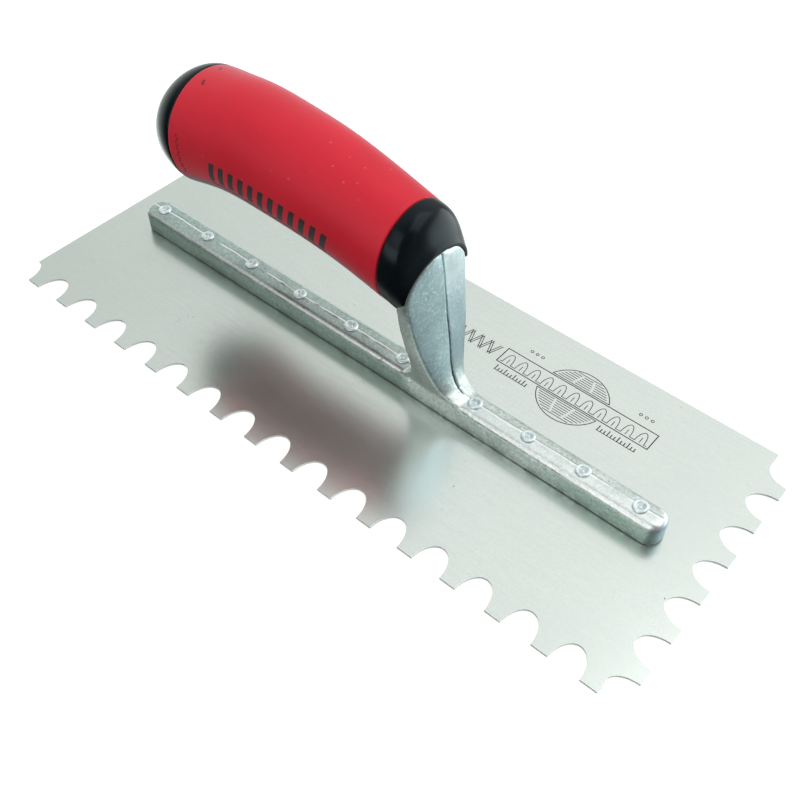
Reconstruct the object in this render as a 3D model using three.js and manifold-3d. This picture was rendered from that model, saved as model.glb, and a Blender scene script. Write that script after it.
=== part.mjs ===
// Notched trowel: a thin steel blade with an arched tooth edge, riveted under a cast aluminium
// mounting whose shank carries a moulded handle.  Millimetres, +Z up.  The origin is the middle of
// the blade's underside, +X runs towards the short toothed end and -Y towards the long toothed edge.

import * as THREE from 'three';
import { mergeVertices } from 'three/addons/utils/BufferGeometryUtils.js';
import Module from 'manifold-3d';

const wasm = await Module();
wasm.setup();

// ---- Driving dimensions -------------------------------------------------------------------

const GAP = 0.3;                     // clearance between neighbouring pieces

const BLADE_LENGTH = 279.4;          // 11 in
const BLADE_WIDTH = 114.3;           // 4 1/2 in
const BLADE_THICKNESS = 0.8;
const NOTCH_PITCH = 17.3;
const NOTCH_WIDTH = 11.3;            // mouth of a notch, so a tooth tip is 6 wide
const NOTCH_DEPTH = 9.2;
const END_NOTCH_DEPTH = 8.7;
const LONG_EDGE_NOTCHES = 17;        // the first is a half notch, the last runs into the corner
const END_NOTCHES = 7;               // the first runs into the front corner
const END_NOTCH_INSET = 4.5;         // from the front corner to the middle of the first end notch

const BAR_REAR_X = -124;
const BAR_FRONT_X = 118.5;
const BAR_WIDTH = 10.7;
const BAR_TOP_Z = 10.3;
const BAR_CORNER_RADIUS = 4;         // upright corners at the two ends
const BAR_EDGE_RADIUS = 1.8;         // rounding along the top edges

const RIVET_X = [-116.8, -91.5, -66.4, -40.5, -14.6, 10.3, 42.7, 65.1, 87, 108.7];
const RIVET_SHANK_RADIUS = 1.4;
const RIVET_HEAD_RADIUS = 2.5;
const RIVET_HEAD_HEIGHT = 0.7;
const RIVET_HOLLOW_RADIUS = 1.1;
const RIVET_HOLLOW_DEPTH = 1.2;
const COUNTERSINK_RADIUS = 2.4;      // flush head under the blade

const GRIP_REAR_X = -78;             // seam between the butt and the grip
const GRIP_FRONT_X = 12.7;           // seam between the grip and the collar
const REAR_RATIO = 1.03;             // handle width over handle height at the rear seam
const FRONT_RATIO = 0.98;            // and at the front seam
const REAR_LEAN = 0.13;              // the rear seam leans back at the top, millimetres per millimetre
const LEAN_END_X = -30;              // ahead of this the handle's sections stand upright
const COLLAR_FRONT_X = 24.3;         // top of the collar's front rim
const COLLAR_TOP_Z = 66.8;
const RIM_LEAN = 0.09;               // the rim leans forward at the top, millimetres per millimetre
const BUTT_DEPTH = 21.4;
const BUTT_DROP = 7.2;               // the tip of the butt sits lower than its seam
const BUTT_ROUNDNESS = 1.75;         // superellipse exponent of the domed butt

const CORE_LINE_X = 13;              // the tang, rod and nut share one sloping centre line
const CORE_LINE_Z = 60.5;
const CORE_LINE_SLOPE = Math.atan2(4, 103);
const CORE_TUBE_RADIUS = 9;
const CORE_TUBE_END = 96;
const TANG_LENGTH = 30;
const TANG_HALF = 5;
const ROD_RADIUS = 2.5;
const ROD_GRIP_LENGTH = 14;          // length of rod screwed into the tang
const RECESS_RADIUS = 6;
const RECESS_FLOOR = 97;             // distance of the recess floor along the core line
const RECESS_LENGTH = 25;            // past the tip of the butt
const WASHER_RADIUS = 5.4;
const WASHER_THICKNESS = 1.2;
const NUT_ACROSS_FLATS = 8;
const NUT_THICKNESS = 4.5;
const ROD_END = 105.5;

const ROUND_SEGMENTS = 16;           // facets around a rivet

const STEEL = { color: 0xb9bdb6, roughness: 0.32, metalness: 1 };
const CAST_ALUMINIUM = { color: 0xa3aaa6, roughness: 0.5, metalness: 1 };
const ZINC = { color: 0xc4c8c6, roughness: 0.3, metalness: 1 };
const RED_RUBBER = { color: 0xb4202e, roughness: 0.55, metalness: 0 };
const BLACK_PLASTIC = { color: 0x14171a, roughness: 0.4, metalness: 0 };

// ---- Solids: closed meshes in, joined or cut, and back to a BufferGeometry --------------------

function toSolid(geometry) {
  const bare = geometry.clone();
  bare.deleteAttribute('normal');
  bare.deleteAttribute('uv');
  const merged = mergeVertices(bare, 1e-4);
  return new wasm.Manifold(new wasm.Mesh({
    numProp: 3,
    vertProperties: new Float32Array(merged.attributes.position.array),
    triVerts: new Uint32Array(merged.index.array),
  }));
}

function toGeometry(solid) {
  const mesh = solid.getMesh();
  const geometry = new THREE.BufferGeometry();
  geometry.setAttribute('position', new THREE.BufferAttribute(mesh.vertProperties, mesh.numProp));
  geometry.setIndex(new THREE.BufferAttribute(mesh.triVerts, 1));
  geometry.computeVertexNormals();
  return geometry;
}

// A closed skin over a stack of rings.  Every ring has the same number of points and turns
// anticlockwise about the direction in which the stack runs; each end is closed by a fan.
function loft(rings) {
  const count = rings[0].length;
  const positions = [];
  const index = [];
  for (const ring of rings) {
    for (const point of ring) positions.push(point.x, point.y, point.z);
  }
  for (let r = 0; r < rings.length - 1; r += 1) {
    for (let i = 0; i < count; i += 1) {
      const j = (i + 1) % count;
      const low = r * count;
      const high = low + count;
      index.push(low + i, low + j, high + j);
      index.push(low + i, high + j, high + i);
    }
  }
  const addCap = (ring, start, flip) => {
    const centre = new THREE.Vector3();
    for (const point of ring) centre.add(point);
    centre.divideScalar(count);
    const hub = positions.length / 3;
    positions.push(centre.x, centre.y, centre.z);
    for (let i = 0; i < count; i += 1) {
      const j = (i + 1) % count;
      if (flip) index.push(hub, start + j, start + i);
      else index.push(hub, start + i, start + j);
    }
  };
  addCap(rings[0], 0, true);
  addCap(rings[rings.length - 1], (rings.length - 1) * count, false);
  const geometry = new THREE.BufferGeometry();
  geometry.setAttribute('position', new THREE.Float32BufferAttribute(positions, 3));
  geometry.setIndex(index);
  return geometry;
}

// A profile of [radius, height] pairs spun about +Z.
function turned(profile, segments) {
  const points = profile.map(([radius, height]) => new THREE.Vector2(radius, height));
  return new THREE.LatheGeometry(points, segments).rotateX(Math.PI / 2);
}

// Moves a piece built along +X from the origin onto the sloping centre line of the handle,
// where its +X runs to the rear.
function onCoreLine(geometry) {
  geometry.rotateZ(Math.PI);
  geometry.rotateY(CORE_LINE_SLOPE);
  return geometry.translate(CORE_LINE_X, 0, CORE_LINE_Z);
}

function turnedAlongCoreLine(profile, segments) {
  return onCoreLine(turned(profile, segments).rotateY(Math.PI / 2));
}

// ---- Blade ----------------------------------------------------------------------------------

function rivetProfile(grow) {
  const neck = RIVET_SHANK_RADIUS + grow;
  const sink = COUNTERSINK_RADIUS + grow;
  return [[0, -grow], [sink, -grow], [sink, 0.1], [neck, BLADE_THICKNESS], [neck, BAR_TOP_Z + GAP]];
}

function rivetHole(x) {
  const profile = [...rivetProfile(GAP), [0, BAR_TOP_Z + GAP]];
  return toSolid(turned(profile, ROUND_SEGMENTS).translate(x, 0, 0));
}

function notchCutter(x, y, halfAlongX, halfAlongY) {
  const cutter = new THREE.CylinderGeometry(1, 1, 4 * BLADE_THICKNESS, 40).rotateX(Math.PI / 2);
  return toSolid(cutter.scale(halfAlongX, halfAlongY, 1).translate(x, y, BLADE_THICKNESS / 2));
}

function makeBlade() {
  const sheet = new THREE.BoxGeometry(BLADE_LENGTH, BLADE_WIDTH, BLADE_THICKNESS);
  let blade = toSolid(sheet.translate(0, 0, BLADE_THICKNESS / 2));
  const halfWidth = NOTCH_WIDTH / 2;
  for (let k = 0; k < LONG_EDGE_NOTCHES; k += 1) {
    const x = -BLADE_LENGTH / 2 + NOTCH_PITCH * k;
    blade = blade.subtract(notchCutter(x, -BLADE_WIDTH / 2, halfWidth, NOTCH_DEPTH));
  }
  for (let k = 0; k < END_NOTCHES; k += 1) {
    const y = -BLADE_WIDTH / 2 + END_NOTCH_INSET + NOTCH_PITCH * k;
    blade = blade.subtract(notchCutter(BLADE_LENGTH / 2, y, END_NOTCH_DEPTH, halfWidth));
  }
  const lastNotchY = END_NOTCH_INSET + NOTCH_PITCH * (END_NOTCHES - 1) - BLADE_WIDTH / 2;
  const backCorner = new THREE.BoxGeometry(2 * END_NOTCH_DEPTH, NOTCH_PITCH, 4 * BLADE_THICKNESS);
  backCorner.translate(BLADE_LENGTH / 2, lastNotchY + NOTCH_PITCH / 2, BLADE_THICKNESS / 2);
  blade = blade.subtract(toSolid(backCorner));
  for (const x of RIVET_X) blade = blade.subtract(rivetHole(x));
  return toGeometry(blade);
}

// ---- Mounting: bar, shank and tang in one casting ----------------------------------------------

function roundedRectangle(x0, x1, y0, y1, radius, z) {
  const points = [];
  const corners = [[x1, y0, -90], [x1, y1, 0], [x0, y1, 90], [x0, y0, 180]];
  for (const [x, y, start] of corners) {
    const cx = x + (x === x1 ? -radius : radius);
    const cy = y + (y === y1 ? -radius : radius);
    for (let step = 0; step <= 6; step += 1) {
      const angle = THREE.MathUtils.degToRad(start + 15 * step);
      points.push(new THREE.Vector3(cx + radius * Math.cos(angle), cy + radius * Math.sin(angle), z));
    }
  }
  return points;
}

function makeBar() {
  const rings = [];
  const addRing = (inset, z) => {
    rings.push(roundedRectangle(BAR_REAR_X + inset, BAR_FRONT_X - inset,
      inset - BAR_WIDTH / 2, BAR_WIDTH / 2 - inset, BAR_CORNER_RADIUS - inset, z));
  };
  addRing(0, BLADE_THICKNESS + GAP);
  for (let step = 0; step <= 4; step += 1) {
    const angle = (Math.PI / 2) * (step / 4);
    addRing(BAR_EDGE_RADIUS * (1 - Math.cos(angle)),
      BAR_TOP_Z - BAR_EDGE_RADIUS * (1 - Math.sin(angle)));
  }
  return toSolid(loft(rings));
}

// The shank at a few heights: [z, front ridge x, face edge x, half width, back edge x, back x].
// Its broad front is two shallow faces that meet on a ridge; the narrow band between the face
// edge and the back edge is its side.
const SHANK_STATIONS = [
  [4, 44, 43, 5.2, 12, 12],
  [9.4, 43, 41, 5.25, 12.5, 12.5],
  [11, 37.9, 36.5, 5.7, 15.8, 15.4],
  [13, 34.4, 33, 6.5, 18.3, 17.6],
  [17.5, 32.2, 31, 8.1, 20.2, 19],
  [24, 31, 29.3, 10.2, 21, 19.6],
  [32, 30.1, 27.6, 12.4, 20.4, 18.6],
  [41, 28.6, 25.7, 14, 19.4, 17.4],
  [50, 27.3, 23.9, 15.1, 18.6, 16.4],
  [55, 26.6, 23.4, 15.2, 18.3, 16],
  [59, 26, 23.5, 13.9, 18, 16],
  [62.5, 25.3, 23.8, 11.3, 18, 16.4],
  [65, 24.7, 24, 7.9, 18, 17],
  [66.4, 24.3, 24.1, 3.6, 18.4, 18],
];

function shankRing([z, ridge, face, half, back, spine], grow) {
  const width = half + grow;
  const edge = Math.min(0.7, 0.2 * width);
  const front = [
    [ridge + grow, 0],
    [THREE.MathUtils.lerp(ridge, face, 0.3) + 0.25 + grow, 0.36 * width],
    [THREE.MathUtils.lerp(ridge, face, 0.66) + 0.25 + grow, 0.7 * width],
    [face + grow, width - edge],
    [face - 0.4, width],
    [back + 0.5, width - 0.3],
    [back - grow, width - 2 * edge],
    [THREE.MathUtils.lerp(back, spine, 0.6) - grow, 0.5 * width],
  ];
  const ring = front.map(([x, y]) => new THREE.Vector3(x, y, z));
  ring.push(new THREE.Vector3(spine - grow, 0, z));
  for (const [x, y] of front.slice(1).reverse()) ring.push(new THREE.Vector3(x, -y, z));
  return ring;
}

function makeShank(grow) {
  const rings = SHANK_STATIONS.map((station) => shankRing(station, grow));
  const last = SHANK_STATIONS[SHANK_STATIONS.length - 1];
  const cap = [last[0] + 0.4 + grow, last[1] - 1, last[2] - 1, last[3] * 0.5, last[4] + 1, last[5] + 1];
  rings.push(shankRing(cap, 0.5 * grow));
  return toSolid(loft(rings));
}

// The tang: a square stub with rounded corners that starts inside the shank.
function makeTang(grow) {
  const section = (distance, half) => roundedRectangle(-half, half, -half, half, 2, -distance);
  const rings = [
    section(-7, TANG_HALF + grow),
    section(TANG_LENGTH - 3, TANG_HALF - 0.6 + grow),
    section(TANG_LENGTH + grow, TANG_HALF - 2 + grow),
  ];
  const stub = loft(rings.reverse());
  return toSolid(onCoreLine(stub.rotateY(-Math.PI / 2)));
}

function makeMounting() {
  const bore = turnedAlongCoreLine([
    [0, TANG_LENGTH - ROD_GRIP_LENGTH], [ROD_RADIUS + GAP, TANG_LENGTH - ROD_GRIP_LENGTH],
    [ROD_RADIUS + GAP, TANG_LENGTH + 2], [0, TANG_LENGTH + 2],
  ], 24);
  let casting = makeBar().add(makeShank(0)).add(makeTang(0)).subtract(toSolid(bore));
  for (const x of RIVET_X) casting = casting.subtract(rivetHole(x));
  return toGeometry(casting);
}

// A rivet: a flush head under the blade and a rolled hollow head standing on the bar.
function makeRivet() {
  const seat = BAR_TOP_Z + GAP;
  const crown = seat + RIVET_HEAD_HEIGHT;
  const profile = [
    ...rivetProfile(0).map(([radius, height]) => [radius, Math.max(height, 0)]),
    [RIVET_HEAD_RADIUS - 0.2, seat],
    [RIVET_HEAD_RADIUS, seat + 0.2],
    [RIVET_HEAD_RADIUS - 0.4, crown - 0.1],
    [RIVET_HOLLOW_RADIUS + 0.5, crown],
    [RIVET_HOLLOW_RADIUS, crown - 0.3],
    [RIVET_HOLLOW_RADIUS * 0.7, crown - RIVET_HOLLOW_DEPTH],
    [0, crown - RIVET_HOLLOW_DEPTH],
  ];
  return turned(profile, ROUND_SEGMENTS);
}

// ---- Handle ---------------------------------------------------------------------------------

// Middle height and half height of the handle, evenly spaced from the rear seam to the front one.
const GRIP_CURVE = new THREE.SplineCurve([
  new THREE.Vector2(67.6, 20),
  new THREE.Vector2(70.9, 19.7),
  new THREE.Vector2(70.8, 19.4),
  new THREE.Vector2(69.4, 19),
  new THREE.Vector2(66.4, 18.4),
  new THREE.Vector2(62, 18.1),
]);
const HANDLE_SEGMENTS = 40;

// An oval section of the handle, nearly round, leaning more and more towards the rear seam.
function ovalRing(x, centre, half) {
  const { clamp, lerp } = THREE.MathUtils;
  const forward = clamp((x - GRIP_REAR_X) / (GRIP_FRONT_X - GRIP_REAR_X), 0, 1);
  const ratio = lerp(REAR_RATIO, FRONT_RATIO, forward);
  const lean = REAR_LEAN * clamp((LEAN_END_X - x) / (LEAN_END_X - GRIP_REAR_X), 0, 1);
  const ring = [];
  for (let i = 0; i < HANDLE_SEGMENTS; i += 1) {
    const angle = (2 * Math.PI * i) / HANDLE_SEGMENTS;
    const rise = half * Math.sin(angle);
    ring.push(new THREE.Vector3(x - lean * rise, ratio * half * Math.cos(angle), centre + rise));
  }
  return ring;
}

function makeCoreTube(grow) {
  const radius = CORE_TUBE_RADIUS + grow;
  return toSolid(turnedAlongCoreLine([
    [0, -3], [radius, -3], [radius, CORE_TUBE_END], [0, CORE_TUBE_END],
  ], 40));
}

function makeGrip() {
  const rings = [];
  const steps = 18;
  for (let i = 0; i <= steps; i += 1) {
    const place = GRIP_CURVE.getPoint(i / steps);
    const x = THREE.MathUtils.lerp(GRIP_REAR_X + GAP / 2, GRIP_FRONT_X - GAP / 2, i / steps);
    rings.push(ovalRing(x, place.x, place.y));
  }
  return toGeometry(toSolid(loft(rings)).subtract(makeCoreTube(GAP)));
}

// The collar's ring stations: [x, widest height, half height above it, half width, lowest height].
// Towards the front the crown drops to the rim and the underside is cut ever higher.
const COLLAR_STATIONS = [
  [GRIP_FRONT_X + GAP / 2, 62, 18.1, 17.7, 44],
  [16, 61.3, 18.1, 17.6, 46.4],
  [18.2, 60.3, 18, 17.3, 49.6],
  [20.2, 58.8, 17.1, 16.7, 52.2],
  [21.8, 56.8, 16.2, 16.2, 54],
  [23.2, 54, 16, 16, 55.2],
  [24.6, 50.6, 16.8, 15.9, 56],
  [26.6, 46, 15.6, 15.6, 56.6],
];

// One ring of the collar: an oval whose underside is cut level at the lowest height.
function collarRing([x, centre, half, halfWidth, lowest]) {
  const arch = 38;
  const chord = 6;
  const start = Math.asin(THREE.MathUtils.clamp((lowest - centre) / half, -0.97, 0.97));
  const ring = [];
  for (let i = 0; i <= arch; i += 1) {
    const angle = THREE.MathUtils.lerp(start, Math.PI - start, i / arch);
    ring.push(new THREE.Vector3(x, halfWidth * Math.cos(angle), centre + half * Math.sin(angle)));
  }
  const first = ring[0];
  const last = ring[arch];
  for (let i = 1; i < chord; i += 1) ring.push(last.clone().lerp(first, i / chord));
  return ring;
}

function makeButt() {
  const rings = [];
  const steps = 12;
  const place = GRIP_CURVE.getPoint(0);
  for (let i = 0; i <= steps; i += 1) {
    const angle = (Math.PI / 2) * (0.06 + 0.94 * (i / steps));
    const depth = BUTT_DEPTH * Math.cos(angle) ** (2 / BUTT_ROUNDNESS);
    const half = place.y * Math.sin(angle) ** (2 / BUTT_ROUNDNESS);
    const drop = BUTT_DROP * (depth / BUTT_DEPTH) ** 2;
    rings.push(ovalRing(GRIP_REAR_X - GAP / 2 - depth, place.x - drop, half));
  }
  return toSolid(loft(rings));
}

function makeHandleCore() {
  const rimLean = new THREE.Matrix4().makeShear(0, 0, 0, 0, RIM_LEAN, 0);
  const rimCut = new THREE.BoxGeometry(20, 60, 60).translate(10, 0, 0).applyMatrix4(rimLean);
  rimCut.translate(COLLAR_FRONT_X, 0, COLLAR_TOP_Z);
  const recess = turnedAlongCoreLine([
    [0, TANG_LENGTH - 1], [ROD_RADIUS + GAP, TANG_LENGTH - 1], [ROD_RADIUS + GAP, RECESS_FLOOR],
    [RECESS_RADIUS, RECESS_FLOOR], [RECESS_RADIUS, RECESS_FLOOR + RECESS_LENGTH],
    [0, RECESS_FLOOR + RECESS_LENGTH],
  ], 32);
  const core = toSolid(loft(COLLAR_STATIONS.map(collarRing)))
    .add(makeButt())
    .add(makeCoreTube(0))
    .subtract(toSolid(rimCut))
    .subtract(makeShank(GAP))
    .subtract(makeTang(GAP))
    .subtract(toSolid(recess));
  return toGeometry(core);
}

// ---- Handle fastening -------------------------------------------------------------------------

function makeRod() {
  const start = TANG_LENGTH - ROD_GRIP_LENGTH + GAP;
  return turnedAlongCoreLine([
    [0, start], [ROD_RADIUS - 0.5, start], [ROD_RADIUS, start + 0.5],
    [ROD_RADIUS, ROD_END - 0.5], [ROD_RADIUS - 0.5, ROD_END], [0, ROD_END],
  ], 24);
}

function makeWasher() {
  const floor = RECESS_FLOOR + GAP;
  const bore = ROD_RADIUS + GAP;
  return turnedAlongCoreLine([
    [bore, floor], [WASHER_RADIUS, floor], [WASHER_RADIUS, floor + WASHER_THICKNESS],
    [bore, floor + WASHER_THICKNESS], [bore, floor],
  ], 32);
}

function makeNut() {
  const floor = RECESS_FLOOR + WASHER_THICKNESS + 2 * GAP;
  const hexagon = new THREE.CylinderGeometry(1, 1, NUT_THICKNESS, 6).rotateZ(-Math.PI / 2);
  const corner = NUT_ACROSS_FLATS / Math.sqrt(3);
  const body = hexagon.scale(1, corner, corner).translate(floor + NUT_THICKNESS / 2, 0, 0);
  const bore = turnedAlongCoreLine([
    [0, floor - 1], [ROD_RADIUS + GAP, floor - 1],
    [ROD_RADIUS + GAP, floor + NUT_THICKNESS + 1], [0, floor + NUT_THICKNESS + 1],
  ], 24);
  return toGeometry(toSolid(onCoreLine(body)).subtract(toSolid(bore)));
}

// ---- Assembly -----------------------------------------------------------------------------------

const trowel = new THREE.Group();

function addPiece(name, geometry, finish, parent = trowel) {
  const mesh = new THREE.Mesh(geometry, new THREE.MeshStandardMaterial(finish));
  mesh.name = name;
  parent.add(mesh);
  return mesh;
}

addPiece('blade', makeBlade(), STEEL);
addPiece('mounting', makeMounting(), CAST_ALUMINIUM);
RIVET_X.forEach((x, i) => {
  addPiece(`rivet_${i + 1}`, makeRivet(), ZINC).position.x = x;
});

const handle = new THREE.Group();
trowel.add(handle);
addPiece('handle_core', makeHandleCore(), BLACK_PLASTIC, handle);
addPiece('grip', makeGrip(), RED_RUBBER, handle);
addPiece('tang_rod', makeRod(), ZINC, handle);
addPiece('butt_washer', makeWasher(), ZINC, handle);
addPiece('butt_nut', makeNut(), ZINC, handle);

export default trowel;
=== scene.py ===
"""Notched trowel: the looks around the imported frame.

Lengths inside the builders are in millimetres and become metres as each mesh is made.
+X runs towards the short toothed end of the blade, -Y towards its long toothed edge, +Z up.
"""

import math
import random

import bmesh
import bpy
import numpy as np
from mathutils import Matrix, Vector, noise


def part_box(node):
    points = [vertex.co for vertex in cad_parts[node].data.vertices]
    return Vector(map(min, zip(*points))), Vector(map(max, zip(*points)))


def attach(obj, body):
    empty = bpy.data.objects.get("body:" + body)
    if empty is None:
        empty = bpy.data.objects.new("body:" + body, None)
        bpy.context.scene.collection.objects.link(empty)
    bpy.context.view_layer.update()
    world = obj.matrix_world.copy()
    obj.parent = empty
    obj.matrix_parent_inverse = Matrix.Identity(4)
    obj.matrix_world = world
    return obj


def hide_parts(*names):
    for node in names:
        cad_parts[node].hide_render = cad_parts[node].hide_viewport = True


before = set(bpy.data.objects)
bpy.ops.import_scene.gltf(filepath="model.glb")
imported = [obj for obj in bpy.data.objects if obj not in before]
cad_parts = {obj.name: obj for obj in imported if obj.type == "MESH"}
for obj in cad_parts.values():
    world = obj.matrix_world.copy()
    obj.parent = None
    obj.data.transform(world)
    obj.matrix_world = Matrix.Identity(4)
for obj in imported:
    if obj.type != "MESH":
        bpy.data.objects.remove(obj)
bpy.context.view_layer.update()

MM = 0.001


# ---- Sizes, from the frame where it has them ----

def box_mm(node):
    """A CAD node's lowest and highest corner in millimetres."""
    low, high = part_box(node)
    return low / MM, high / MM


blade_low, blade_high = box_mm("blade")
mount_low, mount_high = box_mm("mounting")
grip_low, grip_high = box_mm("grip")

BLADE_TOP = blade_high.z
BLADE_REAR, BLADE_FRONT = blade_low.x, blade_high.x
TOOTHED_Y, STRAIGHT_Y = blade_low.y, blade_high.y

NOTCH_PITCH = 17.3
NOTCH_HALF = 5.65
NOTCH_DEPTH = 9.2
END_NOTCH_DEPTH = 8.7
END_NOTCH_INSET = 4.5
LONG_EDGE_NOTCHES = 17
END_NOTCHES = 7

BAR_REAR, BAR_FRONT = mount_low.x, mount_high.x
BAR_HALF_WIDTH = 5.35
BAR_TOP = 10.3
BAR_BOTTOM = BLADE_TOP + 0.26
BAR_REAR_CORNER, BAR_FRONT_CORNER = 3.6, 5.0
BAR_REAR_EDGE, BAR_FRONT_EDGE = 1.5, 2.5
BAR_CROWN = 0.35
STEP_X = 17.8
CASTING_VOXEL, CASTING_RELAX = 0.42, 5

RIVETS = sorted((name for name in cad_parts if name.startswith("rivet_")),
                key=lambda name: int(name.split("_")[1]))
RIVET_X = [0.5 * (box_mm(name)[0].x + box_mm(name)[1].x) for name in RIVETS]
BLADE_HOLE, RIVET_HOLE = 2.0, 1.7

REAR_RATIO, FRONT_RATIO = 1.03, 0.98
REAR_LEAN, LEAN_END = 0.13, -30.0
REAR_HALF = 20.0
GRIP_REAR, GRIP_FRONT = grip_low.x + REAR_LEAN * REAR_HALF, grip_high.x
SEAM = 0.25
BUTT_DEPTH, BUTT_DROP, BUTT_ROUNDNESS = 21.3, 7.2, 1.75
COLLAR_TOP_X, COLLAR_TOP_Z, RIM_LEAN = 24.3, 66.8, 0.09

CORE_X, CORE_Z, CORE_SLOPE = 13.0, 60.5, math.atan2(4, 103)
CORE_TUBE_RADIUS, CORE_TUBE_END = 9.0, 96.0
BORE_GAP, SHANK_GAP = 0.3, 0.28
TANG_LENGTH, TANG_HALF = 30.0, 5.0
ROD_RADIUS, ROD_END = 2.5, 105.5
ROD_BORE = ROD_RADIUS + BORE_GAP
RECESS_RADIUS, RECESS_FLOOR, RECESS_LENGTH = 6.0, 97.0, 25.0
WASHER_RADIUS, WASHER_THICKNESS = 5.4, 1.2
NUT_HALF_FLATS, NUT_THICKNESS = 4.0, 4.5


# ---- Mesh helpers ----

def natural_spline(knots, values):
    """A smooth curve through the values, as a function of x."""
    knots = np.asarray(knots, float)
    values = np.asarray(values, float)
    count = len(knots)
    h = np.diff(knots)
    system = np.eye(count)
    rhs = np.zeros(count)
    for i in range(1, count - 1):
        system[i, i - 1:i + 2] = h[i - 1], 2 * (h[i - 1] + h[i]), h[i]
        rhs[i] = 6 * ((values[i + 1] - values[i]) / h[i] - (values[i] - values[i - 1]) / h[i - 1])
    bend = np.linalg.solve(system, rhs)

    def curve(x):
        i = np.clip(np.searchsorted(knots, x) - 1, 0, count - 2)
        a = (knots[i + 1] - x) / h[i]
        b = (x - knots[i]) / h[i]
        cubic = ((a ** 3 - a) * bend[i] + (b ** 3 - b) * bend[i + 1]) * h[i] ** 2 / 6
        return float(a * values[i] + b * values[i + 1] + cubic)

    return curve


def new_object(name, data, material=None):
    obj = bpy.data.objects.new(name, data)
    bpy.context.scene.collection.objects.link(obj)
    if material is not None:
        data.materials.append(material)
    return obj


def mesh_from(name, points_mm, faces, smooth_angle=None):
    """A mesh from points in millimetres, with normals facing out."""
    mesh = bpy.data.meshes.new(name)
    mesh.from_pydata([tuple(c * MM for c in p) for p in points_mm], [], faces)
    tidy_mesh(mesh)
    shade(mesh, smooth_angle)
    return mesh


def tidy_mesh(mesh):
    bm = bmesh.new()
    bm.from_mesh(mesh)
    bmesh.ops.remove_doubles(bm, verts=bm.verts, dist=1e-7)
    bmesh.ops.recalc_face_normals(bm, faces=bm.faces)
    bm.to_mesh(mesh)
    bm.free()


def shade(mesh, smooth_angle):
    """Smooth shading with edges kept sharp beyond an angle in degrees; None shades flat."""
    mesh.polygons.foreach_set("use_smooth", [smooth_angle is not None] * len(mesh.polygons))
    if smooth_angle is not None:
        mesh.set_sharp_from_angle(angle=math.radians(smooth_angle))
    mesh.update()


def loft(rings, loop=False):
    """(points, faces) of a skin over rings of equal counts, closed at its ends or in a loop."""
    count = len(rings[0])
    points = [p for ring in rings for p in ring]
    faces = []
    spans = len(rings) if loop else len(rings) - 1
    for r in range(spans):
        low, high = r * count, ((r + 1) % len(rings)) * count
        for i in range(count):
            j = (i + 1) % count
            faces.append((low + i, low + j, high + j, high + i))
    if not loop:
        faces.append(tuple(reversed(range(count))))
        faces.append(tuple(range((len(rings) - 1) * count, len(rings) * count)))
    return points, faces


def turns(count):
    """Angles all the way round, in radians."""
    return [2 * math.pi * i / count for i in range(count)]


def quarter(steps):
    """Angles from 0 to a right angle, in radians."""
    return [math.pi / 2 * i / steps for i in range(steps + 1)]


def spin(profile, segments):
    """Rings around +Z for [radius, height] pairs, kept a hair off the axis."""
    pairs = [(max(radius, 1e-4), height) for radius, height in profile]
    return [[(radius * math.cos(a), radius * math.sin(a), height) for a in turns(segments)]
            for radius, height in pairs]


def lathe(profile, segments=48):
    """(points, faces) of a profile spun about +Z and closed at both ends."""
    return loft(spin(profile, segments))


def along_core(points):
    """Points built along +X from the front of the handle's centre line, turned onto it."""
    turn = Matrix.Rotation(CORE_SLOPE, 3, "Y") @ Matrix.Rotation(math.pi, 3, "Z")
    place = Vector((CORE_X, 0, CORE_Z))
    return [tuple(turn @ Vector(p) + place) for p in points]


def onto_core(solid):
    """A solid built around +Z, turned onto the handle's centre line."""
    points, faces = solid
    return along_core([(z, y, -x) for x, y, z in points]), faces


def solid_object(name, solid):
    return new_object(name, mesh_from(name, *solid))


def boolean(obj, solid, operation="DIFFERENCE"):
    """Joins or cuts obj by a solid of (points, faces)."""
    tool = solid_object("tool", solid)
    modifier = obj.modifiers.new("cut", "BOOLEAN")
    modifier.operation = operation
    modifier.solver = "MANIFOLD"
    modifier.object = tool
    apply_modifiers(obj)
    bpy.data.objects.remove(tool)


def apply_modifiers(obj):
    depsgraph = bpy.context.evaluated_depsgraph_get()
    baked = bpy.data.meshes.new_from_object(obj.evaluated_get(depsgraph))
    obj.modifiers.clear()
    old = obj.data
    obj.data = baked
    baked.name = old.name
    bpy.data.meshes.remove(old)


def remesh(obj, voxel_mm, relax):
    """Rebuilds a closed mesh as one skin of small faces and rounds its corners a little."""
    modifier = obj.modifiers.new("skin", "REMESH")
    modifier.mode = "VOXEL"
    modifier.voxel_size = voxel_mm * MM
    smooth = obj.modifiers.new("relax", "SMOOTH")
    smooth.factor = 0.5
    smooth.iterations = relax
    apply_modifiers(obj)


def move_vertices(mesh, shift):
    """Moves each vertex by shift(points_mm, normals), a function on whole arrays."""
    count = len(mesh.vertices)
    points = np.empty(count * 3)
    normals = np.empty(count * 3)
    mesh.vertices.foreach_get("co", points)
    mesh.vertex_normals.foreach_get("vector", normals)
    points = points.reshape(-1, 3) / MM
    normals = normals.reshape(-1, 3)
    points += shift(points, normals)
    mesh.vertices.foreach_set("co", (points * MM).ravel())
    mesh.update()


def finish_piece(obj, slot, *nodes):
    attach(obj, "root")
    if nodes:
        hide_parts(*nodes)


def make_piece(name, solid, smooth_angle, material, slot, *nodes):
    """A finished piece from (points, faces) in millimetres."""
    mesh = mesh_from(name, *solid, smooth_angle)
    finish_piece(new_object(name, mesh, material), slot, *nodes)


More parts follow.
